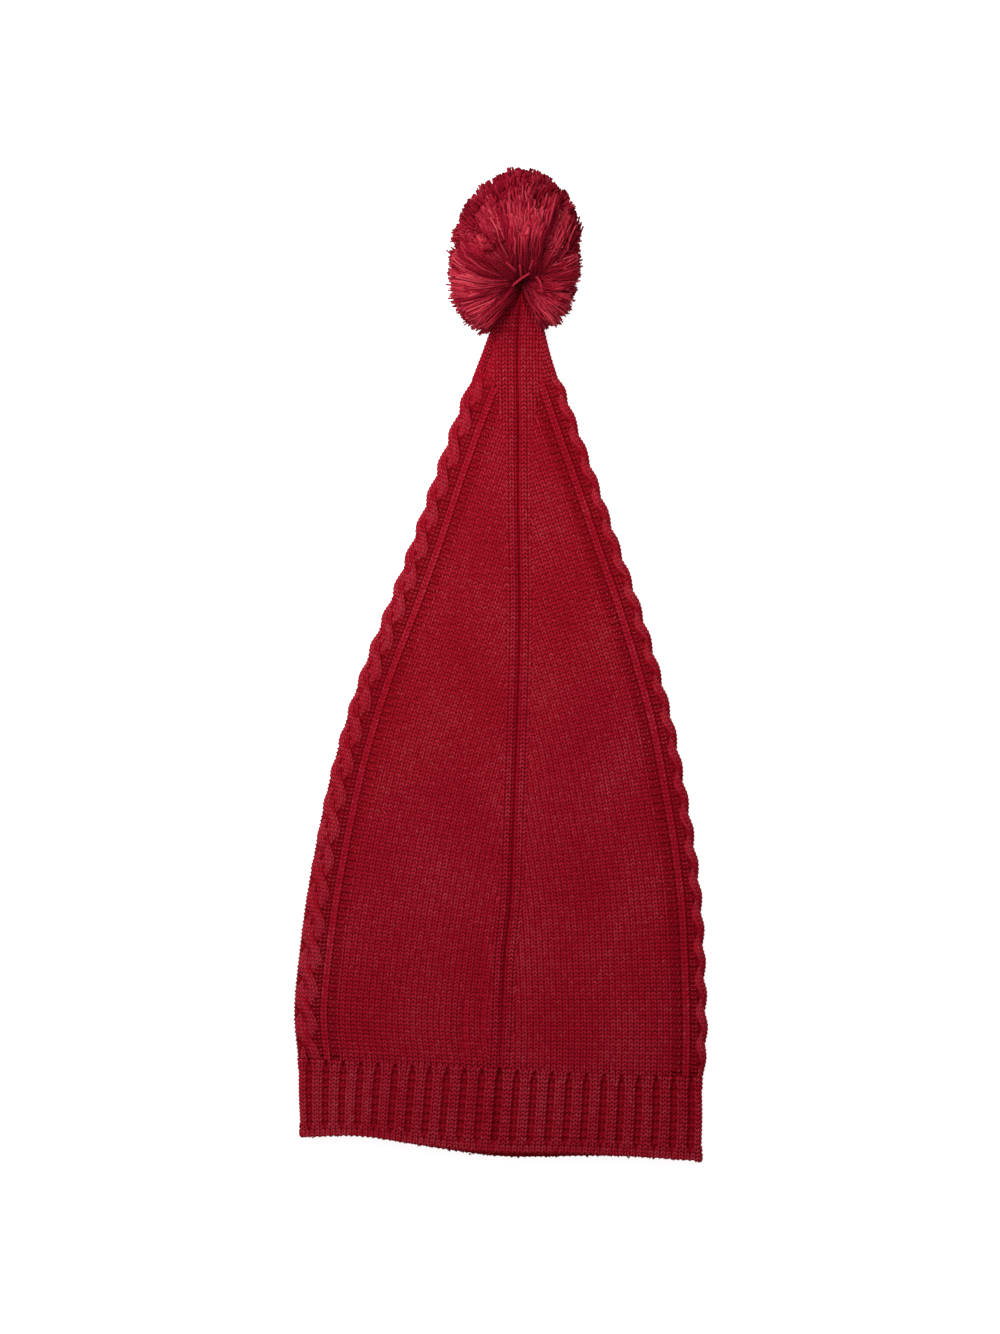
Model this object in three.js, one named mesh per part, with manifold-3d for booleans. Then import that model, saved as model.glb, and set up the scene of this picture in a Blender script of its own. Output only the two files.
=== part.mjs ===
// A long knitted elf hat with a yarn pompom, lying flat on its front with the back seam up.
// Millimetres, +Z up. The hat runs along Y with its tip towards +Y, and rests on the plane Z = 0.
import * as THREE from "three";
import { mergeVertices } from "three/addons/utils/BufferGeometryUtils.js";
import Module from "manifold-3d";

const wasm = await Module();
wasm.setup();

// Driving dimensions
const FABRIC = 3.2; // thickness of the knitted wall
const FOLD_RADIUS = 5.2; // outside radius of the folded side edges
const FOLD_LIMIT = { halfWidth: 0.9, height: 0.45 }; // the radius as a share of a small section
const PIECE_GAP = 0.3; // clearance between neighbouring pieces
const MERGE_DISTANCE = 1e-4; // points closer than this are one point
const YARN_RED = "#8c1524";

// Sections of the crown, from the cuff to the tip. y is the middle of the section, tilt is how much further
// up the left edge sits than the right edge, left and right are the folded edges, seam is the line of the
// back seam, and crest is the highest line of the upper face.
const CROWN_SECTIONS = [
  { y: -227.5, tilt: 11, left: -115, right: 115.6, seam: 0.2, crest: 15.5 },
  { y: -201, tilt: 9, left: -117, right: 116, seam: 1.4, crest: 16 },
  { y: -167, tilt: 7, left: -114.2, right: 115, seam: 2.8, crest: 16.5 },
  { y: -133, tilt: 5, left: -109.8, right: 113.2, seam: 6.2, crest: 17 },
  { y: -99, tilt: 4, left: -103.8, right: 109.2, seam: 7.6, crest: 17 },
  { y: -65, tilt: 3, left: -96.6, right: 103.4, seam: 8.8, crest: 17 },
  { y: -31, tilt: 2, left: -87.2, right: 96.8, seam: 10, crest: 17 },
  { y: 3, tilt: 1, left: -75.6, right: 87.6, seam: 11, crest: 16.5 },
  { y: 37, tilt: 0, left: -62, right: 77, seam: 11.4, crest: 16.5 },
  { y: 71, tilt: 0, left: -49, right: 65.2, seam: 10.9, crest: 16 },
  { y: 105, tilt: 0, left: -37, right: 53.6, seam: 10.5, crest: 16 },
  { y: 139, tilt: 0, left: -24.8, right: 41.4, seam: 10.5, crest: 17 },
  { y: 173, tilt: 0, left: -11.6, right: 30, seam: 10, crest: 20.5 },
  { y: 192, tilt: 0, left: -4.2, right: 25, seam: 10.4, crest: 24 },
  { y: 205, tilt: 0, left: 3.4, right: 20.6, seam: 11.6, crest: 26.5 },
  { y: 213, tilt: 0, left: 8, right: 17.6, seam: 12.8, crest: 27 },
];
const TIP_LIFT = { from: 120, to: 213, rise: 14.5 }; // the tip climbs onto the pompom's lowest yarn
const OUTER_RINGS = 24;
const INNER_RINGS = 12;
const STEPS_ROUND = { underside: 3, fold: 4, halfUpper: 4 };

// The back seam is a shallow groove in the upper face.
const SEAM = { halfWidth: 1.6, depth: 1.4, widestShare: 0.33 };

// The rope cables on the folded edges. inset and height place the middle of a cable from the edge and the
// underside, and lean is the angle of its outward face above the horizontal, in degrees.
const CABLES = [
  { side: "left", inset: 4.6, height: 9.4, lean: 62 },
  { side: "right", inset: 1.6, height: 6.4, lean: 18 },
];
const CABLE_PITCH = 18.7;
const CABLE_SLANT = 24; // degrees between a crossing and its edge
const CROSSING = { long: 11.5, across: 4.3, proud: 2.7 };
const CABLE_SPAN = { from: 0.012, to: 0.9 }; // the stretch of the edge that carries crossings, as shares
const CROSSING_STEPS = { round: 6, along: 3 };

// The ribbed cuff. relief is how deep the grooves between the ribs are, and wave how much of the hem's
// unevenness reaches the section.
const CUFF_SECTIONS = [
  { y: -274.4, tilt: 13.2, left: -113.6, right: 115.2, crest: 14.5, relief: 0.4, wave: 1 },
  { y: -270.2, tilt: 13.2, left: -114.4, right: 115.8, crest: 15, relief: 0.5, wave: 1 },
  { y: -266.4, tilt: 13, left: -114.6, right: 116, crest: 15.2, relief: 1.3, wave: 0.9 },
  { y: -247, tilt: 12, left: -114.8, right: 116, crest: 15.5, relief: 1.3, wave: 0.4 },
  { y: -227.5 - PIECE_GAP, tilt: 11, left: -115.2, right: 116.4, crest: 15.7, relief: 1, wave: 0 },
];
const RIBS = 48;
const POINTS_A_RIB = 4; // two on the rib, two in the groove

// Where the hem is pulled up or hangs down, and by how much.
const HEM_WAVES = [
  { x: -80, width: 28, rise: 3.4 },
  { x: -4, width: 26, rise: -1.2 },
  { x: 66, width: 40, rise: 1 },
];
const UNDER_LAYER = { x: 12, width: 50, rise: -2.2 }; // the under layer of the hem shows below the upper one

// The pompom: cut yarn tied at the knot, in locks that reach a rounded outer form pressed flat by the table.
const KNOT = new THREE.Vector3(12.8, 217, 24);
const POMPOM_CENTRE = new THREE.Vector3(8.6, 234.4, 28.6);
const POMPOM_RADII = new THREE.Vector3(35.4, 45, 30.6);
const CORE_CENTRE = new THREE.Vector3(9, 245, 28);
const CORE_RADII = new THREE.Vector3(25, 26, 22);
const CORE_STEPS = { round: 12, along: 8 };
const BARE_TIP = { halfWidth: 8, spread: 0.6, below: 8 }; // no lock lies over the crown's tip
const LOCKS = 46;
const SIDE_LOCKS = [new THREE.Vector3(-14, 194, 17), new THREE.Vector3(30, 195, 17)]; // beside the tip
const LOCK_SIDES = 6;
const LOCK_VARIATION = 0.05; // share by which one lock is longer or shorter than another
// A lock's outline, from the knot to its cut end: share of its length, and radius in millimetres.
const LOCK_PROFILE = [
  { share: 0.2, radius: 3 },
  { share: 0.86, radius: 10.4 },
  { share: 1, radius: 6 },
];
const GOLDEN_ANGLE = Math.PI * (3 - Math.sqrt(5));

// The section at a share of the way along a table, with each column on a smooth curve through its rows.
function sectionAt(sections, share) {
  const section = {};
  for (const column of Object.keys(sections[0])) {
    const values = sections.map((row, index) => new THREE.Vector2(index, row[column]));
    section[column] = new THREE.SplineCurve(values).getPoint(share).y;
  }
  return section;
}

// The height of the underside, which lies on the table up to where the tip starts to climb.
function baseHeight(section) {
  const climb = (section.y - TIP_LIFT.from) / (TIP_LIFT.to - TIP_LIFT.from);
  return TIP_LIFT.rise * Math.max(0, climb) ** 2;
}

function foldRadius(section) {
  const half = (section.right - section.left) / 2;
  const height = section.crest - baseHeight(section);
  return Math.min(FOLD_RADIUS, FOLD_LIMIT.halfWidth * half, FOLD_LIMIT.height * height);
}

// The closed outline of a flattened tube: flat underside, right fold, crowned upper face, left fold.
function outline(section, inset) {
  const fold = foldRadius(section);
  const flat = (section.right - section.left) / 2 - fold;
  const base = baseHeight(section) + inset;
  const edge = baseHeight(section) + 2 * fold - inset;
  const middle = baseHeight(section) + fold;
  const peak = 2 * (section.crest - inset) - edge;
  const radius = fold - inset;
  const path = new THREE.CurvePath();
  path.add(new THREE.LineCurve(new THREE.Vector2(-flat, base), new THREE.Vector2(flat, base)));
  path.add(new THREE.EllipseCurve(flat, middle, radius, radius, -Math.PI / 2, Math.PI / 2));
  path.add(
    new THREE.QuadraticBezierCurve(
      new THREE.Vector2(flat, edge),
      new THREE.Vector2(0, peak),
      new THREE.Vector2(-flat, edge),
    ),
  );
  path.add(new THREE.EllipseCurve(-flat, middle, radius, radius, Math.PI / 2, 1.5 * Math.PI));
  return path;
}

// Points over the crown's upper face from the right fold to the left one, which dip at the seam outside.
function upperPoints(section, inset) {
  const fold = foldRadius(section);
  const flat = (section.right - section.left) / 2 - fold;
  const seam = section.seam - (section.left + section.right) / 2;
  const lip = Math.min(SEAM.halfWidth, SEAM.widestShare * flat);
  const steps = STEPS_ROUND.halfUpper;
  const places = [];
  for (let i = 0; i <= steps; i++) {
    places.push(THREE.MathUtils.lerp(flat, seam + lip, i / steps));
  }
  places.push(seam);
  for (let i = 0; i < steps; i++) {
    places.push(THREE.MathUtils.lerp(seam - lip, -flat, i / steps));
  }
  const edge = baseHeight(section) + 2 * fold - inset;
  const rise = section.crest - inset - edge;
  return places.map((x) => {
    const groove = inset === 0 && x === seam ? SEAM.depth : 0;
    return new THREE.Vector2(x, edge + rise * (1 - (x / flat) ** 2) - groove);
  });
}

// Sets a point of an outline in its section's leaning plane.
function place(section, point) {
  const across = point.x / (section.right - section.left);
  const x = (section.left + section.right) / 2 + point.x;
  return new THREE.Vector3(x, section.y - section.tilt * across, point.y);
}

// Joins closed rings of equally many points. The two ends are joined in a loop or each closed by a fan.
function skin(rings, looped) {
  const count = rings[0].length;
  const points = rings.flat();
  const faces = [];
  const spans = looped ? rings.length : rings.length - 1;
  for (let i = 0; i < spans; i++) {
    const near = i * count;
    const far = ((i + 1) % rings.length) * count;
    for (let j = 0; j < count; j++) {
      const k = (j + 1) % count;
      faces.push(near + j, near + k, far + k, near + j, far + k, far + j);
    }
  }
  if (!looped) {
    closeEnd(points, faces, 0, count, true);
    closeEnd(points, faces, (rings.length - 1) * count, count, false);
  }
  const geometry = new THREE.BufferGeometry().setFromPoints(points);
  geometry.setIndex(faces);
  return geometry;
}

function closeEnd(points, faces, first, count, atStart) {
  const middle = new THREE.Vector3();
  for (let j = 0; j < count; j++) {
    middle.addScaledVector(points[first + j], 1 / count);
  }
  points.push(middle);
  for (let j = 0; j < count; j++) {
    const here = first + j;
    const next = first + ((j + 1) % count);
    faces.push(points.length - 1, atStart ? next : here, atStart ? here : next);
  }
}

function solidOf(geometry) {
  const bare = geometry.clone();
  bare.deleteAttribute("normal");
  bare.deleteAttribute("uv");
  const merged = mergeVertices(bare, MERGE_DISTANCE);
  const vertProperties = new Float32Array(merged.attributes.position.array);
  const triVerts = new Uint32Array(merged.index.array);
  return new wasm.Manifold(new wasm.Mesh({ numProp: 3, vertProperties, triVerts }));
}

function geometryOf(solid) {
  const mesh = solid.getMesh();
  const geometry = new THREE.BufferGeometry();
  geometry.setAttribute("position", new THREE.BufferAttribute(mesh.vertProperties, 3));
  geometry.setIndex(new THREE.BufferAttribute(mesh.triVerts, 1));
  return geometry;
}

// Rings of the crown's tube from the cuff to the tip, set in from the outside by inset.
function crownRings(inset, count) {
  const rings = [];
  for (let i = 0; i <= count; i++) {
    const share = i / count;
    const section = sectionAt(CROWN_SECTIONS, share);
    const [underside, rightFold, , leftFold] = outline(section, inset).curves;
    const points = [
      ...underside.getPoints(STEPS_ROUND.underside).slice(0, -1),
      ...rightFold.getPoints(STEPS_ROUND.fold).slice(0, -1),
      ...upperPoints(section, inset),
      ...leftFold.getPoints(STEPS_ROUND.fold).slice(0, -1),
    ];
    section.y -= inset * share;
    rings.push(points.map((point) => place(section, point)));
  }
  return rings;
}

// The crossings of one rope cable, grown by a clearance.
function cableCrossings(cable, clearance) {
  const rightSide = cable.side === "right";
  const outward = rightSide ? 1 : -1;
  const stations = [];
  for (let i = 0; i <= OUTER_RINGS; i++) {
    const share = THREE.MathUtils.lerp(CABLE_SPAN.from, CABLE_SPAN.to, i / OUTER_RINGS);
    const section = sectionAt(CROWN_SECTIONS, share);
    const scale = foldRadius(section) / FOLD_RADIUS;
    const x = section[cable.side] - outward * cable.inset * scale;
    const y = section.y - (outward * section.tilt) / 2;
    stations.push(new THREE.Vector3(x, y, baseHeight(section) + cable.height * scale));
  }
  const route = new THREE.CatmullRomCurve3(stations);
  const count = Math.round(route.getLength() / CABLE_PITCH);
  const lean = THREE.MathUtils.degToRad(cable.lean);
  const slant = THREE.MathUtils.degToRad(CABLE_SLANT);
  const solids = [];
  for (let i = 0; i < count; i++) {
    const share = (i + 0.5) / count;
    const tangent = route.getTangentAt(share);
    const face = new THREE.Vector3(outward * Math.cos(lean), 0, Math.sin(lean));
    face.addScaledVector(tangent, -face.dot(tangent)).normalize();
    const sideways = new THREE.Vector3().crossVectors(tangent, face).normalize();
    const along = tangent.clone().multiplyScalar(-Math.cos(slant)).addScaledVector(sideways, Math.sin(slant));
    const across = new THREE.Vector3().crossVectors(face, along);
    const frame = new THREE.Matrix4().makeBasis(
      face.multiplyScalar(CROSSING.proud + clearance),
      along.multiplyScalar(CROSSING.long + clearance),
      across.multiplyScalar(CROSSING.across + clearance),
    );
    frame.setPosition(route.getPointAt(share));
    const lobe = new THREE.SphereGeometry(1, CROSSING_STEPS.round, CROSSING_STEPS.along);
    solids.push(solidOf(lobe.applyMatrix4(frame)));
  }
  return solids;
}

function crossingsOnBothEdges(clearance) {
  return CABLES.flatMap((cable) => cableCrossings(cable, clearance));
}

function crown() {
  const outside = crownRings(0, OUTER_RINGS).reverse();
  const inside = crownRings(FABRIC, INNER_RINGS);
  let solid = solidOf(skin([...outside, ...inside], false));
  for (const crossing of crossingsOnBothEdges(0)) {
    solid = solid.add(crossing);
  }
  return geometryOf(solid);
}

// The room that the crown takes, with a clearance all round.
function crownRoom(clearance) {
  let solid = solidOf(skin(crownRings(-clearance, OUTER_RINGS).reverse(), false));
  for (const crossing of crossingsOnBothEdges(clearance)) {
    solid = solid.add(crossing);
  }
  return solid;
}

function bump(wave, x) {
  const away = (x - wave.x) / wave.width;
  return wave.rise * Math.exp(-away * away);
}

// One ring of the cuff. On the outside the grooves between the ribs are set in by the section's relief.
function cuffRing(section, inset) {
  const path = outline(section, inset);
  const count = RIBS * POINTS_A_RIB;
  const ring = [];
  for (let i = 0; i < count; i++) {
    const share = i / count;
    const point = path.getPointAt(share);
    const inGroove = i % POINTS_A_RIB >= POINTS_A_RIB / 2;
    if (inset === 0 && inGroove) {
      const tangent = path.getTangentAt(share);
      point.x -= section.relief * tangent.y;
      point.y += section.relief * tangent.x;
    }
    const placed = place(section, point);
    const hem = HEM_WAVES.reduce((sum, wave) => sum + bump(wave, placed.x), 0);
    const below = point.y < FOLD_RADIUS ? bump(UNDER_LAYER, placed.x) : 0;
    placed.y += section.wave * (hem + below);
    ring.push(placed);
  }
  return ring;
}

function ribCuff() {
  const hem = CUFF_SECTIONS[0];
  const top = CUFF_SECTIONS[CUFF_SECTIONS.length - 1];
  const outside = CUFF_SECTIONS.map((section) => cuffRing(section, 0)).reverse();
  const inside = [hem, top].map((section) => cuffRing(section, FABRIC));
  return skin([...outside, ...inside], true);
}

// Where a lock ends on the pompom's outer form, with the ends spread evenly over it.
function lockEnd(index) {
  const height = 1 - (2 * index + 1) / LOCKS;
  const radius = Math.sqrt(1 - height * height);
  const turn = index * GOLDEN_ANGLE;
  const end = new THREE.Vector3(radius * Math.cos(turn), height, radius * Math.sin(turn));
  return end.multiply(POMPOM_RADII).add(POMPOM_CENTRE);
}

// Whether a lock would lie over the crown's tip, which stays bare up to the knot.
function coversTip(end) {
  const fromKnot = end.clone().sub(KNOT);
  const towardsCuff = Math.max(0, -fromKnot.y);
  const beside = Math.abs(fromKnot.x) > BARE_TIP.halfWidth + BARE_TIP.spread * towardsCuff;
  return towardsCuff > 0 && !beside && fromKnot.z > -BARE_TIP.below;
}

// A lock of yarn: thin at the knot, full towards its cut end.
function lock(end, variation) {
  const direction = end.clone().sub(KNOT);
  const length = direction.length() * (1 + variation);
  const profile = LOCK_PROFILE.map((row) => new THREE.Vector2(row.radius, row.share * length));
  profile.unshift(new THREE.Vector2(0, profile[0].y));
  profile.push(new THREE.Vector2(0, profile[profile.length - 1].y));
  const geometry = new THREE.LatheGeometry(profile, LOCK_SIDES);
  const upright = new THREE.Vector3(0, 1, 0);
  const turn = new THREE.Quaternion().setFromUnitVectors(upright, direction.normalize());
  return solidOf(geometry.applyQuaternion(turn).translate(KNOT.x, KNOT.y, KNOT.z));
}

// What lies below the table's surface under the pompom.
function tableRoom() {
  const side = 4 * POMPOM_RADII.y;
  const block = new THREE.BoxGeometry(side, side, side);
  return solidOf(block.translate(POMPOM_CENTRE.x, POMPOM_CENTRE.y, -side / 2));
}

function pompom() {
  const core = new THREE.SphereGeometry(1, CORE_STEPS.round, CORE_STEPS.along);
  core.scale(CORE_RADII.x, CORE_RADII.y, CORE_RADII.z);
  core.translate(CORE_CENTRE.x, CORE_CENTRE.y, CORE_CENTRE.z);
  let solid = solidOf(core);
  const spread = Array.from({ length: LOCKS }, (_, index) => lockEnd(index));
  const ends = [...spread.filter((end) => !coversTip(end)), ...SIDE_LOCKS];
  ends.forEach((end, index) => {
    solid = solid.add(lock(end, LOCK_VARIATION * Math.sin(index * index)));
  });
  solid = solid.subtract(tableRoom()).subtract(crownRoom(PIECE_GAP));
  const pieces = solid.decompose().sort((a, b) => b.volume() - a.volume());
  return geometryOf(pieces[0]);
}

function yarnMesh(name, geometry) {
  const material = new THREE.MeshStandardMaterial({ color: YARN_RED, roughness: 0.95, metalness: 0 });
  const mesh = new THREE.Mesh(geometry, material);
  mesh.name = name;
  return mesh;
}

const hat = new THREE.Group();
hat.name = "elf_hat";
hat.add(yarnMesh("crown", crown()));
hat.add(yarnMesh("rib_cuff", ribCuff()));
hat.add(yarnMesh("pompom", pompom()));

export default hat;
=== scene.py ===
# %% [markdown]
# # A knitted elf hat with a pompom
#
# The hat is a long cone of red wool, lying flat with its back seam up. This lesson builds what the eye sees of
# it: plain walls that keep the hat's form, then every stitch as a small leg of yarn laid on those walls, then the
# rope cables on the two folds, the ribbed cuff and the bunch of cut yarn at the tip. The part made in CAD is loaded
# first, because each piece here has to sit exactly where its solid sits.

# %% Load the part
import math
from collections import namedtuple
from types import SimpleNamespace as Sizes

import bpy
import numpy as np
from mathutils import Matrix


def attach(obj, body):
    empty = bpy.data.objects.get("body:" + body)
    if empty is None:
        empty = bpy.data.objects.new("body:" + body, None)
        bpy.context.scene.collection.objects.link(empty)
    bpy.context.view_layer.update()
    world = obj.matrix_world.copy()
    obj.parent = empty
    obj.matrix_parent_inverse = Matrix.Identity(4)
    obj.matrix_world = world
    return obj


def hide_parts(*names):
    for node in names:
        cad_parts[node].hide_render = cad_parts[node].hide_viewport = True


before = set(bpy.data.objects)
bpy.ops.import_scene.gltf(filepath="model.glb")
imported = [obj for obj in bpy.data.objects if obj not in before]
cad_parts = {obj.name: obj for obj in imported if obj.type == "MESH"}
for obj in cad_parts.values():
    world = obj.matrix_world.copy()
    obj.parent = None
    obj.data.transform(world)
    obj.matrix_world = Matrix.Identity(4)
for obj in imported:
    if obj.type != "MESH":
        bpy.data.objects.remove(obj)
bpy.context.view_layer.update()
MM = 0.001
chance = np.random.default_rng(24)
print("the part's nodes:", sorted(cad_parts))

# %% [markdown]
# ## The table, the light and the camera
#
# The photograph looks straight down on the hat from far away, so a long lens high above the table gives the same
# picture with hardly any perspective. The light is soft and comes mostly from above the pompom, which is why the
# tip is brighter than the cuff. A plane primitive is enough for the table, which glows a little, as a light table
# does, so that the hat hardly casts a shadow on it. It is wide, so that a low side view still ends on it. It isn't
# sampled as a lamp, because so large a lamp would take the light samples from the real ones and leave noise.

# %% Table, light and camera
PICTURE_HEIGHT = 0.7577
CAMERA_HEIGHT = 4.0
PICTURE_CENTRE = (0.00028, -0.00085)
SENSOR = 36.0
TABLE_SIZE = 20.0
WHITE = (1.0, 1.0, 1.0, 1.0)
TABLE_LOOK = {"Base Color": (0.5, 0.5, 0.5, 1.0), "Roughness": 0.9, "Emission Color": WHITE, "Emission Strength": 0.8}


def set_inputs(node, values):
    for name, value in values.items():
        node.inputs[name].default_value = value


def new_material(name, look):
    material = bpy.data.materials.new(name)
    material.use_nodes = True
    shader = material.node_tree.nodes["Principled BSDF"]
    set_inputs(shader, look)
    return material, shader


def add_soft_light(name, location, target, size, power):
    bpy.ops.object.light_add(type="AREA", location=location)
    lamp = bpy.context.object
    lamp.name = name
    lamp.data.shape = "DISK"
    lamp.data.size = size
    lamp.data.energy = power
    aim = np.array(target) - np.array(location)
    lamp.rotation_euler = (math.acos(-aim[2] / np.linalg.norm(aim)), 0.0, math.atan2(-aim[0], aim[1]))


bpy.ops.mesh.primitive_plane_add(size=TABLE_SIZE, location=(0.0, 0.0, 0.0))
table = bpy.context.object
table.name = "table"
paint, _ = new_material("pale_table", TABLE_LOOK)
paint.cycles.emission_sampling = "NONE"
table.data.materials.append(paint)
add_soft_light("key_light", (-0.2, 0.33, 0.6), (0.01, 0.17, 0.0), size=0.7, power=8.3)
add_soft_light("fill_light", (0.3, -0.5, 1.2), (0.0, 0.0, 0.0), size=1.6, power=2.5)
bpy.ops.object.camera_add(location=(*PICTURE_CENTRE, CAMERA_HEIGHT))
camera = bpy.context.object
camera.name = "overhead_camera"
camera.data.sensor_width = SENSOR
camera.data.lens = SENSOR * CAMERA_HEIGHT / PICTURE_HEIGHT
camera.data.clip_end = 50.0
bpy.context.scene.camera = camera
world = bpy.data.worlds.new("studio")
world.use_nodes = True
set_inputs(world.node_tree.nodes["Background"], {"Color": WHITE, "Strength": 0.35})
bpy.context.scene.world = world
bpy.context.scene.view_settings.view_transform = "Standard"
print("table, two soft lights and an overhead camera")

# %% [markdown]
# ## Red wool
#
# Each yarn carries two things for its material: a number called shade, which makes every stitch a little lighter or
# darker than its neighbour and also carries the shade and light painted into the colour, and a map called yarn, which
# says how far round and how far along the yarn a point is.
# The plies of the wool wind round the yarn, so a sine of both gives their twist. The small class below wraps a socket
# so that node maths reads like ordinary sums.

# %% Wool material
class Wire:
    """A socket of a material, which can be added, multiplied and fed to other nodes."""

    def __init__(self, tree, socket=None):
        self.tree = tree
        self.socket = socket

    def node(self, kind, settings, inputs, output=0):
        made = self.tree.nodes.new(kind)
        for name, value in settings.items():
            setattr(made, name, value)
        for name, value in inputs.items():
            if isinstance(value, Wire):
                self.tree.links.new(value.socket, made.inputs[name])
            else:
                made.inputs[name].default_value = value
        return Wire(self.tree, made.outputs[output])

    def sum(self, operation, first, second=0.0):
        return self.node("ShaderNodeMath", {"operation": operation}, {0: first, 1: second})

    def __add__(self, other):
        return self.sum("ADD", self, other)

    __radd__ = __add__

    def __sub__(self, other):
        return self.sum("SUBTRACT", self, other)

    def __rsub__(self, other):
        return self.sum("SUBTRACT", other, self)

    def __mul__(self, other):
        return self.sum("MULTIPLY", self, other)

    __rmul__ = __mul__

    def sine(self):
        return self.sum("SINE", self)

    def feeds(self, shader, name):
        self.tree.links.new(self.socket, shader.inputs[name])


WOOL_LOOK = {"Roughness": 0.92, "Specular IOR Level": 0.02, "Sheen Weight": 0.02, "Sheen Roughness": 0.45,
             "Sheen Tint": (1.0, 0.22, 0.28, 1.0)}


def new_wool(name):
    """A material with what all of the hat's wool shares, its shade, and the place on the hat."""
    wool, shader = new_material(name, WOOL_LOOK)
    start = Wire(wool.node_tree)
    shade = start.node("ShaderNodeAttribute", {"attribute_name": "shade"}, {}, "Fac")
    place = start.node("ShaderNodeTexCoord", {}, {}, "Object")
    return wool, shader, shade, place


def dye(shader, amount, reds):
    """Deep, middle and light red along a ramp. In the knit's and the pompom's reds the light end is pinker, a painted
    sheen on the lit tops of the yarns.
    """
    ramp = amount.node("ShaderNodeValToRGB", {}, {"Fac": amount})
    stops = ramp.socket.node.color_ramp.elements
    stops.new(0.5)
    for stop, place, red in zip(stops, (0.0, 0.5, 1.0), reds):
        stop.position = place
        stop.color = (*red, 1.0)
    ramp.feeds(shader, "Base Color")


def roughen(shader, height, strength, depth):
    bump = height.node("ShaderNodeBump", {}, {"Height": height, "Strength": strength, "Distance": depth})
    bump.feeds(shader, "Normal")


def yarn_wool(name, reds, twist_pitch, twist_depth):
    """Wool for pieces made of separate yarns."""
    wool, shader, shade, place = new_wool(name)
    uv = place.node("ShaderNodeUVMap", {"uv_map": "yarn"}, {})
    split = place.node("ShaderNodeSeparateXYZ", {}, {"Vector": uv})
    around, along = (Wire(split.tree, split.socket.node.outputs[axis]) for axis in "XY")
    twist = (around * math.tau + along * (math.tau / twist_pitch)).sine()
    fuzz = place.node("ShaderNodeTexNoise", {}, {"Vector": place, "Scale": 1600.0, "Detail": 2.0})
    dye(shader, shade * 0.5 + twist * 0.05 + (fuzz - 0.5) * 0.25, reds)
    roughen(shader, twist * 0.5 + fuzz, 0.5, twist_depth)
    return wool


def ground_wool(name, reds):
    """Wool for the walls under the stitches and inside the hat: rows of purl bumps."""
    wool, shader, shade, place = new_wool(name)
    rows = place.node("ShaderNodeTexWave", {"bands_direction": "Y"},
                      {"Vector": place, "Scale": 68.0, "Distortion": 1.5, "Detail": 1.0, "Detail Scale": 6.0})
    fuzz = place.node("ShaderNodeTexNoise", {}, {"Vector": place, "Scale": 420.0, "Detail": 3.0})
    dye(shader, (rows * 0.5 + fuzz * 0.5) * shade, reds)
    roughen(shader, rows + fuzz, 0.8, 0.0008)
    return wool


# The light end of the knit's and the pompom's reds is pinker: painted sheen on the lit tops of the yarns.
BODY_REDS_AND_PAINTED_SHEEN = [(0.13, 0.0003, 0.002), (0.272, 0.0044, 0.0145), (0.38, 0.052, 0.072)]
GROUND_REDS = [(0.075, 0.0006, 0.002), (0.17, 0.002, 0.006), (0.25, 0.004, 0.012)]
POMPOM_REDS_AND_PAINTED_SHEEN = [(0.050, 0.0002, 0.0015), (0.212, 0.0048, 0.0155), (0.44, 0.042, 0.063)]
knit_wool = yarn_wool("red_knit_wool", BODY_REDS_AND_PAINTED_SHEEN, twist_pitch=1.9, twist_depth=0.0002)
pompom_wool = yarn_wool("red_pompom_wool", POMPOM_REDS_AND_PAINTED_SHEEN, twist_pitch=2.6, twist_depth=0.00015)
wall_wool = ground_wool("red_wool_ground", GROUND_REDS)
print("three red wools")

# %% [markdown]
# ## The form of the hat
#
# The hat is a flattened tube. Its sections are listed from the hem to the tip: where the section is, how much it is
# tilted, its left and right fold, the seam, and how high the upper face stands in the middle. A smooth curve through
# each column gives every size in between. All of these are in millimetres, and a mesh is scaled to metres when it is
# made.

# %% Hat sections
COLUMNS = "y tilt left right seam crest left_lean right_lean".split()
SECTIONS = np.array([
    (-274.4, 13.2, -113.6, 115.2, -3.4, 14.5, 3.0, -2.5),
    (-250.0, 12.2, -114.8, 116.0, -1.4, 15.5, 3.2, -2.4),
    (-227.5, 11.0, -115.0, 115.6, 0.2, 15.5, 3.4, -2.2),
    (-201.0, 9.0, -117.0, 116.0, 1.4, 16.0, 4.2, -0.8),
    (-167.0, 7.0, -114.2, 115.0, 2.8, 16.5, 6.0, 1.2),
    (-133.0, 5.0, -109.8, 113.2, 6.2, 17.0, 8.4, 3.8),
    (-99.0, 4.0, -103.8, 109.2, 7.6, 17.0, 10.6, 6.4),
    (-65.0, 3.0, -96.6, 103.4, 8.8, 17.0, 12.8, 9.4),
    (-31.0, 2.0, -87.2, 96.8, 10.0, 17.0, 15.2, 13.0),
    (3.0, 1.0, -75.6, 87.6, 11.0, 16.5, 17.2, 16.4),
    (37.0, 0.0, -62.0, 77.0, 11.4, 16.5, 18.8, 18.6),
    (71.0, 0.0, -49.0, 65.2, 10.9, 16.0, 19.8, 19.2),
    (105.0, 0.0, -37.0, 53.6, 10.5, 16.0, 20.6, 19.4),
    (139.0, 0.0, -24.8, 41.4, 10.5, 17.0, 21.0, 19.2),
    (173.0, 0.0, -11.6, 30.0, 10.0, 20.5, 21.0, 17.0),
    (192.0, 0.0, -4.2, 25.0, 10.4, 24.0, 22.0, 16.0),
    (205.0, 0.0, 3.4, 20.6, 11.6, 26.5, 24.0, 18.0),
    (213.0, 0.0, 8.0, 17.6, 12.8, 27.0, 26.0, 20.0),
])
CUFF_TOP = -227.5
TIP = 213.0
FOLD_RADIUS = 5.2
TIP_LIFT = Sizes(start=120.0, rise=14.5)
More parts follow.
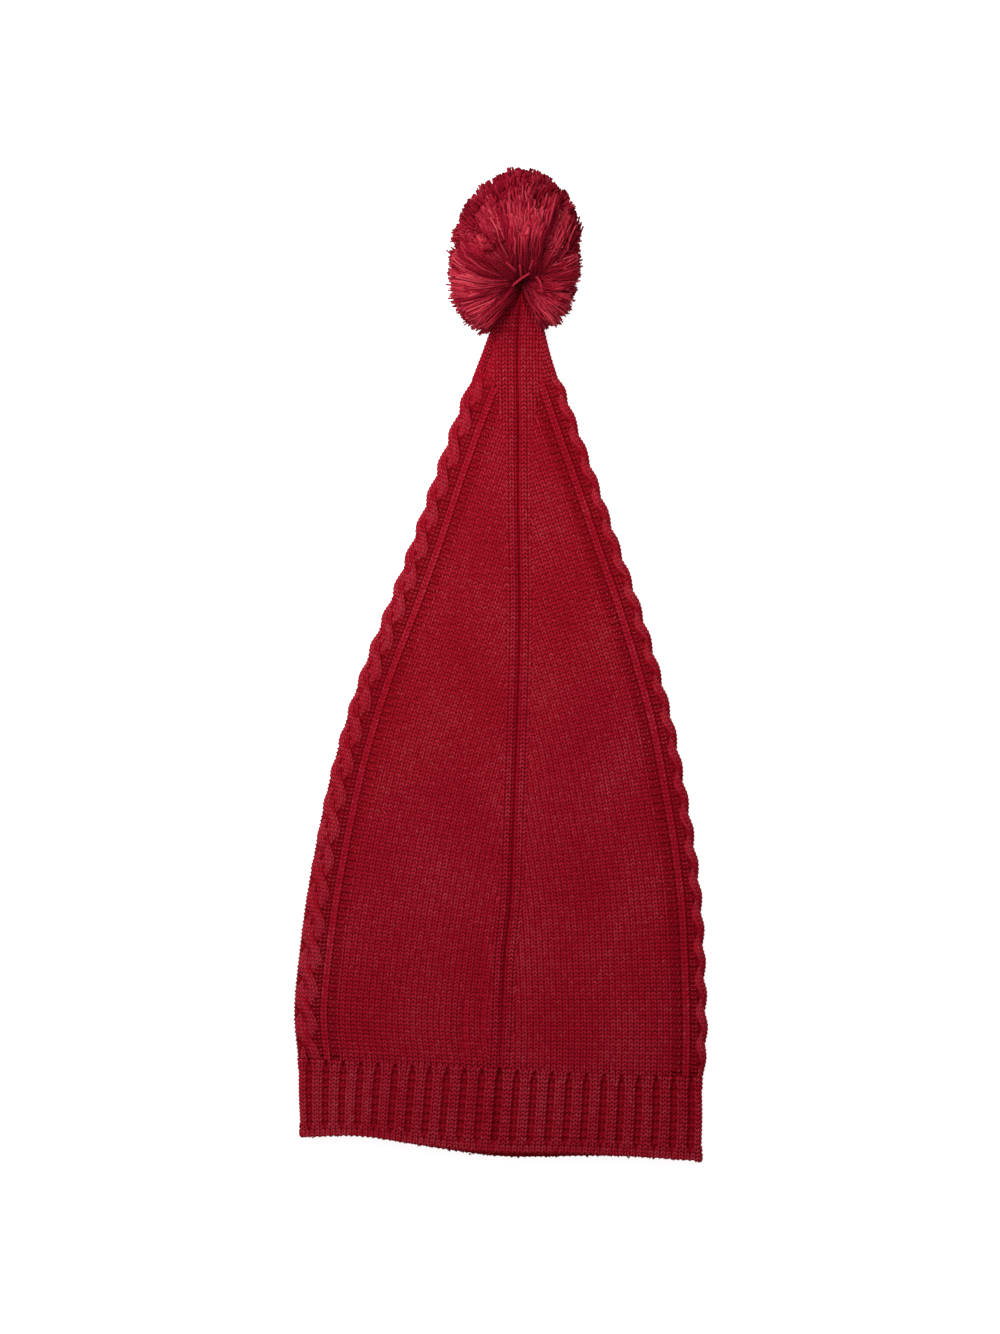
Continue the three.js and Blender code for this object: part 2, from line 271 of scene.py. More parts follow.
FOLD_LIMIT = Sizes(half_width=0.9, height=0.45)
SEAM_DIP = Sizes(width=1.4, shallow=1.6, deep=2.2, deep_below=-60.0, change=25.0)
# The seam is drawn in tightly up the hat, and lies loose just above the cuff and in it: at these rows, this much.
SEAM_STRENGTH = ((-222.0, -170.0), (0.55, 1.0))
DENTS = [
    # x, y, half width, half length, depth
    (-10.0, -190.0, 4.0, 30.0, 1.8),
    (-20.0, -204.0, 3.2, 20.0, 1.4),
    (-60.0, -205.0, 26.0, 22.0, 0.9),
    (58.0, -120.0, 30.0, 45.0, 0.7),
    (-40.0, -40.0, 22.0, 50.0, 0.6),
]


def smooth_rows(table, count):
    """A smooth curve through the rows of a table, read at many places."""
    place = np.linspace(0.0, len(table) - 1.0, count)
    row = np.minimum(place.astype(int), len(table) - 2)
    t = (place - row)[:, None]
    before, start = table[np.maximum(row - 1, 0)], table[row]
    end, after = table[row + 1], table[np.minimum(row + 2, len(table) - 1)]
    slope_in, slope_out = (end - before) / 2, (after - start) / 2
    return ((2 * start - 2 * end + slope_in + slope_out) * t**3
            + (-3 * start + 3 * end - 2 * slope_in - slope_out) * t**2 + slope_in * t + start)


FINE = smooth_rows(SECTIONS, 1800)


def size_at(row, column):
    return np.interp(row, FINE[:, 0], FINE[:, COLUMNS.index(column)])


def across_at(row):
    """The middle of a section, and half its width."""
    left, right = size_at(row, "left"), size_at(row, "right")
    return (left + right) / 2, (right - left) / 2


def tilted(row, x):
    """How far up the plan a tilted section is at a place across it."""
    middle, half = across_at(row)
    return row - size_at(row, "tilt") * (x - middle) / (2 * half)


def lift(row):
    """How far the underside of the tip is lifted off the table by the pompom."""
    share = np.maximum(0.0, (row - TIP_LIFT.start) / (TIP - TIP_LIFT.start))
    return TIP_LIFT.rise * share**2


def fold_radius(row):
    """The radius of the folded edges, which is less where the section is small."""
    wide, high = across_at(row)[1], size_at(row, "crest") - lift(row)
    return np.minimum(FOLD_RADIUS, np.minimum(FOLD_LIMIT.half_width * wide, FOLD_LIMIT.height * high))


def row_through(x, y):
    """The tilted section that passes through a point of the plan."""
    row = y
    for _ in range(3):
        row = row + y - tilted(row, x)
    return row


def row_of(point):
    return row_through(point[:, 0], point[:, 1])


def hill(x, middle, width):
    """A smooth hill, 1 high at its middle."""
    return np.exp(-(((x - middle) / width) ** 2))


def sag(x, y):
    """How far the upper face is dented."""
    return sum(depth * hill(x, dent_x, half_x) * hill(y, dent_y, half_y)
               for dent_x, dent_y, half_x, half_y, depth in DENTS)


def top_height(x, y):
    """The upper face: a low crown between the folds, dipped along the seam and dented where the cloth sags."""
    row = row_through(x, y)
    middle, half = across_at(row)
    fold = fold_radius(row)
    off, flat, edge = x - middle, half - fold, lift(row) + 2 * fold
    height = edge + (size_at(row, "crest") - edge) * (1 - np.minimum(1.0, (off / flat) ** 2))
    beyond = np.clip(np.abs(off) - flat, 0.0, fold)
    height = height - fold + np.sqrt(fold**2 - beyond**2)
    deep = 1 / (1 + np.exp((row - SEAM_DIP.deep_below) / SEAM_DIP.change))
    depth = (SEAM_DIP.shallow + (SEAM_DIP.deep - SEAM_DIP.shallow) * deep) * np.interp(row, *SEAM_STRENGTH)
    return height - depth * hill(x, size_at(row, "seam"), SEAM_DIP.width) - sag(x, y)


print("sections:", len(SECTIONS), "from", SECTIONS[0, 0], "to", SECTIONS[-1, 0], "mm")

# %% [markdown]
# ## The walls
#
# A tube of cloth starts as a flat sheet. A grid primitive is rolled to the hat's sections, the doubles where its two
# side edges meet are merged, the normals are made to face outward, and a Solidify modifier gives the knit its
# thickness toward the inside. The sheet lies a little below the real surface, because the stitches that come later
# stand on it. Its columns gather at the seam, so that it follows the groove there.

# %% Crown wall
WALL_DROP = 0.72
WALL_THICKNESS = 2.2
AROUND = {"underside": 0.28, "right fold": 0.40, "upper face": 0.88}
GATHERED = 0.25
CLOSED_END = Sizes(middle=(12.8, TIP, 20.5), start=0.985)
# The crown's ground between the stitches gets painted shade, dark between the columns beside the cables and none in
# the field, on the folds and at the tip; row by row it is darker toward the cuff and lighter toward the tip.
GROUND = Sizes(left_field=22.5, right_field=17.0, fold=6.0, blend=4.0, tip=150.0, tip_blend=20.0,
               dark=0.36)
GROUND_PAINTED_SHADE_BY_ROW = ((-190.0, 60.0), (0.95, 1.4))  # at these rows, this shade


def ring_point(around, row, drop):
    """A point of the section's outline, by its share of the way round from the left end of the underside."""
    middle, half = across_at(row)
    full_fold = fold_radius(row)
    fold, flat = np.maximum(full_fold - drop, 0.2), half - full_fold
    stops = [0.0, *AROUND.values(), 1.0]
    stretch = [around <= stop for stop in AROUND.values()]
    shares = [(around - start) / (stop - start) for start, stop in zip(stops, stops[1:])]
    share = np.select(stretch, shares[:-1], shares[-1])
    turn = share * math.pi
    seam = np.clip(size_at(row, "seam") - middle, -0.9 * flat, 0.9 * flat)
    beside = (1 - 2 * share) * (GATHERED + (1 - GATHERED) * np.abs(1 - 2 * share))
    upper = seam + beside * np.where(beside > 0, flat - seam, flat + seam)
    x = middle + np.select(stretch, [flat * (2 * share - 1), flat + fold * np.sin(turn), upper],
                           -flat - fold * np.sin(turn))
    y = tilted(row, x)
    low = lift(row) + full_fold
    z = np.select(stretch, [low - fold, low - fold * np.cos(turn), top_height(x, y) - drop],
                  low + fold * np.cos(turn))
    return np.stack([x, y, z], axis=-1)


def points_of(piece):
    places = np.empty(len(piece.data.vertices) * 3)
    piece.data.vertices.foreach_get("co", places)
    return places.reshape(-1, 3)


def roll_sheet(name, around, along, roll):
    """A flat sheet of cloth, rolled into a tube by a function of the shares round and along it."""
    bpy.ops.object.select_all(action="DESELECT")
    bpy.ops.mesh.primitive_grid_add(x_subdivisions=around, y_subdivisions=along, size=2.0, calc_uvs=False)
    sheet = bpy.context.object
    sheet.name = name
    share = (points_of(sheet) + 1.0) / 2.0
    sheet.data.vertices.foreach_set("co", (roll(share[:, 0], share[:, 1]) * MM).ravel())
    bpy.ops.object.mode_set(mode="EDIT")
    bpy.ops.mesh.select_all(action="SELECT")
    bpy.ops.mesh.remove_doubles(threshold=0.00002)
    bpy.ops.mesh.normals_make_consistent(inside=False)
    bpy.ops.object.mode_set(mode="OBJECT")
    return sheet


def thicken(sheet):
    wall = sheet.modifiers.new("knit_thickness", "SOLIDIFY")
    wall.thickness = WALL_THICKNESS * MM
    wall.offset = -1.0
    bpy.ops.object.modifier_apply(modifier=wall.name)
    bpy.ops.object.shade_smooth()


def colour_ground(piece, shade_at):
    """Gives a wall its wool, and a shade from shade_at, which paints shade and light into its colour."""
    piece.data.materials.append(wall_wool)
    shade = piece.data.attributes.new("shade", "FLOAT", "POINT")
    shade.data.foreach_set("value", shade_at(points_of(piece) / MM))


def crown_ground_painted_shade(point):
    """Painted shade on the crown's ground, which is dark between the columns beside the cables, and darker toward the
    cuff than toward the tip.
    """
    row = row_of(point)
    left, right = point[:, 0] - size_at(row, "left"), size_at(row, "right") - point[:, 0]
    field = np.minimum(left - GROUND.left_field, right - GROUND.right_field)
    beside = np.maximum(field, GROUND.fold - np.minimum(left, right)) / GROUND.blend
    light = np.clip(np.maximum(beside, (row - GROUND.tip) / GROUND.tip_blend), 0.0, 1.0)
    shade = GROUND.dark + (1 - GROUND.dark) * light
    return shade * np.interp(row, *GROUND_PAINTED_SHADE_BY_ROW)


def roll_crown(around, along):
    row = CUFF_TOP + (TIP - CUFF_TOP) * along
    ring = ring_point(around, row, WALL_DROP)
    middle = np.array(CLOSED_END.middle)
    close = np.interp(along, (CLOSED_END.start, 1.0), (0.0, 1.0))[:, None]
    return middle + (ring - middle) * np.sqrt(1 - close**2 + 1e-12)


crown_wall = roll_sheet("crown_wall", 100, 92, roll_crown)
thicken(crown_wall)
colour_ground(crown_wall, crown_ground_painted_shade)
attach(crown_wall, "root")
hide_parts("crown")
print("crown wall:", len(crown_wall.data.polygons), "faces")

# %% [markdown]
# ## A leg of yarn
#
# A knitted stitch shows two legs that lean apart like a V. Thousands of them are wanted, so each leg is only a few
# rings of points with a tip at both ends, and all the legs of a piece are written into one mesh from arrays. The
# same maker builds longer yarns too. It also lays out a map with one small cell for each yarn, so that the colours
# can later be painted onto it without two yarns sharing a place.

# %% Yarn maker
Spot = namedtuple("Spot", "point along across out")
Yarns = namedtuple("Yarns", "rings ends shade")
LEG_RINGS = [(-0.22, 0.46, 0.68), (0.20, 0.52, 1.00)]  # along, half width, height
LEG_ENDS = [(-0.54, -0.20), (0.54, 0.30)]  # along, height
# Painted shade and light along a leg: the start is dark, then come the side, the top and the other side of both
# rings, and the end. The sunk start and the sides are painted shade, the tops painted light.
LEG_PAINTED_SHADE = np.array([0.78, 0.84, 1.05, 0.84, 0.86, 1.14, 0.86, 0.95])


def unit(v):
    return v / np.maximum(np.linalg.norm(v, axis=-1, keepdims=True), 1e-9)


def spots(place, along, across, flip=1.0):
    """Points of a surface with the directions up the wale, across it and out of the cloth."""
    point = place(along, across)
    up = unit(place(along + 0.4, across) - place(along - 0.4, across))
    over = place(along, across + 0.05) - place(along, across - 0.05)
    out = unit(np.cross(over, up)) * flip
    return Spot(point, up, np.cross(up, out), out)


def only(spot, keep):
    return Spot(*(part[keep] for part in spot))


def mottle_and_sag_shade(point):
    """Soft lighter and darker patches in the dyed wool, and painted shade where the cloth sags."""
    x, y = point[:, 0], point[:, 1]
    patches = np.sin(x / 9.0 + np.sin(y / 17.0)) + np.sin(y / 13.0 + 2.0 * np.sin(x / 21.0))
    return 0.05 * patches - 0.06 * sag(x, y)


def legs(spot, length, width, height, lean, sink, middle=1.0, spread=0.09):
    """One leg of yarn at every spot, leaning over to the right by an angle, in tones spread about a middle one."""
    angle = np.radians(np.broadcast_to(lean, len(spot.point)))[:, None]
    along = (np.cos(angle) * spot.along + np.sin(angle) * spot.across) * length
    across = (np.cos(angle) * spot.across - np.sin(angle) * spot.along) * width
    out = spot.out * height
    start = spot.point - spot.out * sink
    rows = [np.stack([start + along * a - across * half, start + along * a + out * top,
                      start + along * a + across * half], axis=1) for a, half, top in LEG_RINGS]
    ends = np.stack([start + along * a + out * top for a, top in LEG_ENDS], axis=1)
    shade = middle + mottle_and_sag_shade(spot.point) + chance.normal(0.0, spread, len(spot.point))
    return Yarns(np.stack(rows, axis=1), ends, shade[:, None] * LEG_PAINTED_SHADE)


def gather(parts):
    return Yarns(*(np.concatenate(arrays) for arrays in zip(*parts)))


def yarn_faces(stations, sides):
    """The triangles of one yarn, each corner as (point, place round, place along)."""
    faces = []
    for side in range(sides):
        left, right = ([(1 + station * sides + (side + step) % sides, side + step, station + 1)
                        for station in range(stations)] for step in (0, 1))
        first, last = (0, side + 0.5, 0), (stations * sides + 1, side + 0.5, stations + 1)
        faces.append([first, right[0], left[0]])
        for low, high, above, over in zip(left, right, right[1:], left[1:]):
            faces += [[low, high, above], [low, above, over]]
        faces.append([left[-1], right[-1], last])
    return np.array(faces, dtype=float)


def yarn_piece(name, yarns, cell_rows, wool):
    """One mesh of many yarns, pressed flat where they meet the table, with its shade and its two maps."""
    count, stations, sides = yarns.rings.shape[:3]
    points = np.concatenate([yarns.ends[:, :1], yarns.rings.reshape(count, -1, 3), yarns.ends[:, 1:]], axis=1)
    points[..., 2] = np.maximum(points[..., 2], 0.05)
    corners = yarn_faces(stations, sides).reshape(-1, 3)
    index, station = corners[:, ::2].astype(int).T
    faces = (index[None, :] + np.arange(count)[:, None] * points.shape[1]).ravel()
    mesh = bpy.data.meshes.new(name)
    mesh.vertices.add(count * points.shape[1])
    mesh.vertices.foreach_set("co", (points * MM).ravel())
    mesh.loops.add(len(faces))
    mesh.loops.foreach_set("vertex_index", faces)
    mesh.polygons.add(len(faces) // 3)
    mesh.polygons.foreach_set("loop_start", np.arange(0, len(faces), 3))
    mesh.update(calc_edges=True)
    mesh.shade_smooth()

    middles = np.concatenate([yarns.ends[:, :1], yarns.rings.mean(axis=2), yarns.ends[:, 1:]], axis=1)
    steps = np.linalg.norm(np.diff(middles, axis=1), axis=2)
    travel = np.concatenate([np.zeros((count, 1)), np.cumsum(steps, axis=1)], axis=1)
    round_share = np.broadcast_to(corners[:, 1] / sides, (count, len(corners)))
    yarn_map = np.stack([round_share, travel[:, station]], axis=-1)
    mesh.uv_layers.new(name="yarn").uv.foreach_set("vector", yarn_map.ravel())
    cell_columns = math.ceil(count / cell_rows)
    cell = np.stack(np.divmod(np.arange(count), cell_columns)[::-1], axis=-1)
    inside = 0.06 + 0.88 * (corners[:, 1:] / (sides, stations + 1))
    atlas = (cell[:, None, :] + inside[None, :, :]) / np.array([cell_columns, cell_rows])
    mesh.uv_layers.new(name="OFBake").uv.foreach_set("vector", atlas.ravel())
    mesh.uv_layers["yarn"].active_render = True

    tone = mesh.attributes.new("shade", "FLOAT", "POINT")
    tone.data.foreach_set("value", yarns.shade.ravel())
    piece = bpy.data.objects.new(name, mesh)
    bpy.context.collection.objects.link(piece)
    mesh.materials.append(wool)
    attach(piece, "root")
    print(name, "yarns:", count, "triangles:", len(faces) // 3)
    return piece


# %% [markdown]
# ## The plain field
#
# On each half of the hat the wales run parallel to the fold, so the two halves meet in a chevron at the seam. A
# place on the cloth is given by how far up the folded edge its row starts, and how far round from the fold it lies.
# Near the fold that second distance bends round a half circle, and past it the cloth is nearly flat.

# %% Places on the crown
WALE = 3.35
ROW = 2.33
UNEVEN = 6.0
SIGN = {"left": 1.0, "right": -1.0}


def line_up(column):
    """A folded edge or the seam: its length from the cuff up, the section and the place in plan at each length."""
    row = FINE[FINE[:, 0] >= CUFF_TOP, 0]
    x = size_at(row, column)
    y = tilted(row, x)
    length = np.concatenate([[0.0], np.cumsum(np.hypot(np.diff(x), np.diff(y)))])
    return length, row, x, y


EDGES = {side: line_up(side) for side in SIGN}


def place_on(side):
    """The place on the crown at a length up one folded edge and a distance round from the fold."""
    length, rows, edge_x, edge_y = EDGES[side]

    def place(up, over):
        row = np.interp(up, length, rows)
        past = np.maximum(0.0, up - length[-1])
        lean = np.radians(size_at(row, side + "_lean"))
        fold = fold_radius(row)
        bend = fold * math.pi / 2
        turn = np.clip(over / fold, -math.pi / 2, math.pi / 2)
        bent = np.abs(over) < bend
        inset = np.where(bent, fold * (1 - np.cos(turn)), fold + np.abs(over) - bend)
        x = np.interp(up, length, edge_x) + SIGN[side] * np.cos(lean) * inset
        y = np.interp(up, length, edge_y) - np.sin(lean) * inset + past
        flat_z = np.where(over > 0, top_height(x, y), lift(row_through(x, y)))
        z = np.where(bent, lift(row) + fold + fold * np.sin(turn), flat_z)
        return np.stack([x, y, z], axis=-1)

    return place


def v_stitches(place, up, over, flip, keep=None, wale=WALE, proud=0.0, middle=1.0, lean=27.0, length=1.5 * ROW):
    """Two legs for every stitch. A leg is left out where the keep test fails at its own middle."""
    parts = []
    for hand in (-1.0, 1.0):
        spot = spots(place, up, over + hand * flip * wale * 0.25, flip)
        tone = middle(spot.point) if callable(middle) else np.broadcast_to(middle, len(up))
        if keep is not None:
            kept = keep(spot.point)
            spot, tone = only(spot, kept), tone[kept]
        uneven = hand * lean + chance.normal(0.0, UNEVEN, len(spot.point))
        parts.append(legs(spot, length, width=0.49 * wale, height=1.05, lean=uneven, sink=0.85 - proud, middle=tone))
    return gather(parts)


def bumps(place, up, over, flip, keep, width, proud, lean, middle=1.0, thick=1.35):
    """Purl bumps: short legs that lie across the wale."""
    spot = spots(place, up, over, flip)
    spot = only(spot, keep(spot.point))
    uneven = lean + chance.normal(0.0, 2 * UNEVEN, len(spot.point))
    return legs(spot, width, thick, height=1.0, lean=uneven, sink=0.85 - proud, middle=middle)


def grid(first, second):
    a, b = np.meshgrid(first, second, indexing="ij")
    return a.ravel(), b.ravel()


print("edge lengths:", {side: round(float(EDGES[side][0][-1])) for side in EDGES}, "mm")

# %% [markdown]
# Beside each cable the pattern changes from column to column: a purl gutter, one raised knit wale, a band of moss
# stitch in which knit and purl take turns, and then the plain field. The columns are listed by how far round from
# the fold they start, over the upper face and under the hat. Toward the tip the left ones drift closer to the fold.
# Upright legs fill the middle of the raised wale. No knit is quite even, so every stitch leans a little by chance.

# %% Field and side columns
COLUMN_STARTS = {
    # side: gutter, rib, moss and field, over the upper face and then under the hat
    ("left", 1): (13.4, 18.2, 22.6, 27.4),
    ("right", 1): (6.6, 10.3, 15.6, 21.0),
    ("left", -1): (0.6, 5.4, 9.8, 14.6),
    ("right", -1): (6.2, 9.8, 15.0, 20.4),
}
DRIFT = {"left": 3.4, "right": 0.0}
DRIFT_LENGTHS = (150.0, 350.0)
CABLE_STOP = 0.9
# Two wales run along each side of the seam, and four near the tip: at these rows, this far from it.
SEAM_BAND = ((125.0, 165.0), (7.3, 13.9))


def cable_end(side):
    return CABLE_STOP * EDGES[side][0][-1]


def own_half(side, face):
    """Keeps a leg on its own half: outside the seam band above, and up to the middle line below."""
    def keep(point):
        x, row = point[:, 0], row_of(point)
        line = size_at(row, "seam") if face > 0 else across_at(row)[0]
        margin = np.interp(row, *SEAM_BAND) if face > 0 else 0.6
        return ((line - x) * SIGN[side] > margin) & (row < TIP - 1.0)

    return keep


def half_of_crown(name, side, face):
    surface, flip, keep = place_on(side), SIGN[side], own_half(side, face)
    gutter, rib, moss, field = (start * face for start in COLUMN_STARTS[side, face])
    rows = np.arange(0.45, EDGES[side][0][-1], ROW)
    turns = np.arange(len(rows)) % 2 == 0

    def place(up, over):
        drift = np.interp(up, DRIFT_LENGTHS, (0.0, DRIFT[side])) if face > 0 else 0.0
        return surface(up, over - drift)

    def column(share, first, last):
        return first + (last - first) * share

    up, over = grid(rows, field + face * WALE * (np.arange(40) + 0.5))
    raised = column(0.5, rib, moss)
    parts = [v_stitches(place, up, over, flip, keep),
             v_stitches(place, rows, raised, flip, keep, wale=4.3, proud=0.4, middle=0.95, lean=25.0),
             bumps(place, rows, raised, flip, keep, width=1.7 * ROW, proud=0.25, lean=0.0, middle=0.85)]
    rung = 0.6 * abs(rib - gutter)
    for share, slope in ((0.27, 20.0), (0.73, -20.0)):
        knit, purl = rows[turns ^ (share > 0.5)], rows[~turns ^ (share > 0.5)]
        in_gutter, in_moss = column(share, gutter, rib), column(share, moss, field)
        parts += [
            bumps(place, rows, in_gutter, flip, keep, width=rung, proud=0.1, lean=90.0 + flip * slope, middle=1.06,
                  thick=1.15),
            bumps(place, purl, in_moss, flip, keep, width=2.5, proud=0.15, lean=90.0 - 1.5 * slope),
            v_stitches(place, knit, in_moss, flip, keep, wale=2.4, proud=-0.4, middle=0.92, length=1.1 * ROW),
        ]
    up, over = grid(rows[rows > cable_end(side) - 6.0], np.arange(0.0, 13.0, 3.2) * face)
    parts.append(v_stitches(surface, up, over, flip, keep, wale=3.2))
    yarn_piece(name, gather(parts), 128, knit_wool)


for face, word in ((1, "back"), (-1, "front")):
    for side in SIGN:
        half_of_crown(f"{word}_{side}_stitches", side, face)

# %% [markdown]
# ## The seam
#
# Two wales on each side of the back seam run along it, and the plain field is narrowed beside them. Their row runs
# up the seam itself instead of the folded edge. The edge loops of both halves are sunk between them and painted dark,
# a line of painted shade in the groove, which fades toward the cuff, where the seam lies loose. The legs beside the
# seam get a little painted shade as well.

# %% Seam band
SEAM_WALE = 3.55
SEAM_LINE = line_up("seam")
# Painted shade beside the seam, as in its groove.
SEAM_DARK = ((0.5, 2.3), (0.4, 0.0))  # at these distances, this much darker


def seam_place(up, over):
    length, _, line_x, line_y = SEAM_LINE
    x = np.interp(up, length, line_x) + over
    y = np.interp(up, length, line_y) + np.maximum(0.0, up - length[-1]) + np.minimum(0.0, up)
    return np.stack([x, y, top_height(x, y)], axis=-1)


def from_seam(point):
    """The section that a point lies in, and how far the point is from the seam."""
    row = row_of(point)
    return row, np.abs(point[:, 0] - size_at(row, "seam"))


def along_seam(point):
    row, off = from_seam(point)
    return off < np.minimum(np.interp(row, *SEAM_BAND), across_at(row)[1] - 0.5)


def seam_painted_shade(point):
    """The legs that turn down into the seam get a little painted shade, as in the groove."""
    row, off = from_seam(point)
    return 1 - np.interp(row, *SEAM_STRENGTH) * np.interp(off, *SEAM_DARK)


seam_rows = np.arange(0.45, SEAM_LINE[0][-1] - 1.0, ROW)
seam_up, seam_over = grid(seam_rows, SEAM_WALE * (np.arange(8) - 3.5))
seam = v_stitches(seam_place, seam_up, seam_over, 1.0, along_seam, wale=SEAM_WALE, proud=0.1, middle=seam_painted_shade)
sunk_spot = spots(seam_place, seam_rows, 0.0)
# The sunk edge loops are painted dark, as shade in the groove, less so toward the cuff.
sunk_painted_shade = 1.1 - np.interp(sunk_spot.point[:, 1], *SEAM_STRENGTH)
sunk = legs(sunk_spot, 1.7 * ROW, width=1.15, height=1.0, lean=0.0, sink=0.6, middle=sunk_painted_shade, spread=0.05)
yarn_piece("seam_stitches", gather([seam, sunk]), 64, knit_wool)

# %% [markdown]
# ## The rope cables
#
# Each fold carries a cable of two strands that cross over each other again and again, always the same way. Seen
# along its length that is a rope: a strand swings from side to side while it rises over the other and dives under it.
# Each strand is a flattened tube swept along that path, and three wales of long stitches lie on it. Where the other
# strand comes near, the stitches are painted darker, as shade in a deep crease, and on a strand's crest they are
# painted lighter.

# %% Cables
CABLE = Sizes(pitch=18.7, rise=1.5, base=-1.7, half_width=3.8, half_height=2.9)
CABLE_SWEEP = {"left": 3.3, "right": 3.0}
CABLE_MIDDLE = {"left": (9.8, 7.2, 5.2), "right": (0.8, 0.8, 0.8)}
CABLE_LENGTHS = (66.0, 220.0, 340.0)
CABLE_START = 0.6
CABLE_WALES = np.array([-2.4, 0.0, 2.4])
CABLE_ENDS = Sizes(low=16.0, low_rise=0.55, high=14.0)
CREASE = 3.0


def cable_middle(side, up):
    """The cable lies further onto the upper face near the cuff than it does higher up."""
    return np.interp(up, CABLE_LENGTHS, CABLE_MIDDLE[side])


def strand_middle(side, strand, up):
    swing = np.cos(math.pi * (up / CABLE.pitch + strand))
    return cable_middle(side, up) + SIGN[side] * CABLE_SWEEP[side] * swing


def strand_rise(side, strand, up, over):
    """How far a strand stands off the cloth at a distance from its own middle. It sinks at both ends."""
    arch = CABLE.half_height * np.sqrt(np.maximum(0.0, 1 - (over / CABLE.half_width) ** 2))
    climb = CABLE.rise * np.sin(math.pi * (up / CABLE.pitch + strand))
    top_end = np.interp(up, (cable_end(side) - CABLE_ENDS.high, cable_end(side)), (1.0, 0.0))
    low_end = np.interp(up, (0.0, CABLE_ENDS.low), (CABLE_ENDS.low_rise, 1.0))
    return CABLE.base + (climb + arch) * np.minimum(top_end, low_end)


def strand_place(side, strand):
    """A place on one strand of the cable, by its length up the edge and its distance from the strand's middle."""
    surface = place_on(side)

    def place(up, over):
        spot = spots(surface, up, strand_middle(side, strand, up) + over, SIGN[side])
        rise = strand_rise(side, strand, up, over) * (0.8 + 0.2 * np.abs(spot.out[:, 2]))
        return spot.point + spot.out * rise[:, None]

    return place


def above_the_other(side, strand, up, over):
    """How far a place on one strand lies over the other strand."""
    other = 1.0 - strand
    across = strand_middle(side, strand, up) + over - strand_middle(side, other, up)
    gap = strand_rise(side, strand, up, over) - strand_rise(side, other, up, across)
    return np.where(np.abs(across) < CABLE.half_width, gap, CREASE)


def strand_tube(side, strand):
    """The body of a strand under its stitches."""
    up = np.arange(CABLE_START, cable_end(side), 2.2)
    turn = np.linspace(0.0, math.tau, 9)[:-1]
    ups, turns = grid(up, turn)
    over = CABLE.half_width * 0.97 * np.cos(turns) * SIGN[side]
    ring = strand_place(side, strand)(ups, over)
    spot = spots(place_on(side), ups, over + cable_middle(side, ups), SIGN[side])
    below = 1.6 * CABLE.half_height * np.maximum(0.0, -np.sin(turns)) + 0.4
    rings = (ring - spot.out * below[:, None]).reshape(1, len(up), len(turn), 3)[:, :, ::-1]
    ends = np.stack([rings[:, 0].mean(axis=1), rings[:, -1].mean(axis=1)], axis=1)
    # The strand's body is painted a little dark, as shade under its stitches.
    return Yarns(rings, ends, np.full((1, len(ups) + 2), 0.75))


def cable(side):
    strands = gather([strand_tube(side, 0.0), strand_tube(side, 1.0)])
    yarn_piece(side + "_cable_strands", strands, 1, knit_wool)
    parts = []
    for strand in (0.0, 1.0):
        rows = np.arange(CABLE_START, cable_end(side) - 4.0, ROW)
        up, over = grid(rows, CABLE_WALES)
        gap = above_the_other(side, strand, up, over)
        shown = gap > -0.2
        up, over = up[shown], over[shown]
        # Painted shade where the other strand comes near, as in a crease, and painted light on the strand's crest.
        tone = 0.3 + 0.88 * np.clip(gap[shown] / CREASE, 0.0, 1.0)
        parts.append(v_stitches(strand_place(side, strand), up, over, SIGN[side], wale=2.5, proud=0.1, middle=tone,
                                lean=19.0, length=1.6 * ROW))
    yarn_piece(side + "_cable_stitches", gather(parts), 64, knit_wool)


for side in SIGN:
    cable(side)

# %% [markdown]
# ## The ribbed cuff
#
# The cuff goes round the mouth in ribs of two knit wales with a purl valley between them. A place on it is given by
# a number of ribs counted from the seam, and a height up from the hem. Counting in ribs keeps the ribs parallel to
# the folded edges even though the seam is off the middle.

# %% Cuff wall
HEM = -274.4
CUFF_HEIGHT = CUFF_TOP - HEM - 0.3
RIBS_TO_FOLD = 12
HEM_WAVES = [
    # x, width, rise
    (-80.0, 28.0, 3.4),
    (-4.0, 26.0, -1.2),
    (66.0, 40.0, 1.0),
]
UNDER_LAYER = (12.0, 52.0, -3.0)
VALLEY = Sizes(depth=1.8, sharpness=1.8, hem_end=3.6, hem_taper=5.0, top_end=0.4, top_taper=9.0)
RIB_SWAY = {"left": -2.2, "right": -0.6}
# Painted light along the hem and a little painted shade on the rest of the cuff's ground.
HEM_PAINTED_LIGHT = Sizes(height=3.0, light=2.0, ground=0.8)


def hem_wave(x, upper):
    """How far the hem is pulled up or down. The share of a place that is upper layer goes from 1 down to 0."""
    rise = sum(height * hill(x, middle, width) for middle, width, height in HEM_WAVES)
    middle, width, height = UNDER_LAYER
    return rise + (1 - upper) * height * hill(x, middle, width)


def rib_relief(ribs, up):
    """How far the cloth sinks between two ribs. A valley narrows to a point above the hem and below the crown."""
    valley = (0.5 + 0.5 * np.cos(math.tau * ribs)) ** VALLEY.sharpness
    from_hem = (up - VALLEY.hem_end) / VALLEY.hem_taper
    from_top = (CUFF_HEIGHT + VALLEY.top_end - up) / VALLEY.top_taper
    pinch = 1 - np.clip(np.minimum(from_hem, from_top), 0.0, 1.0)
    return -VALLEY.depth * np.clip((valley - pinch) / (1.001 - pinch), 0.0, 1.0)


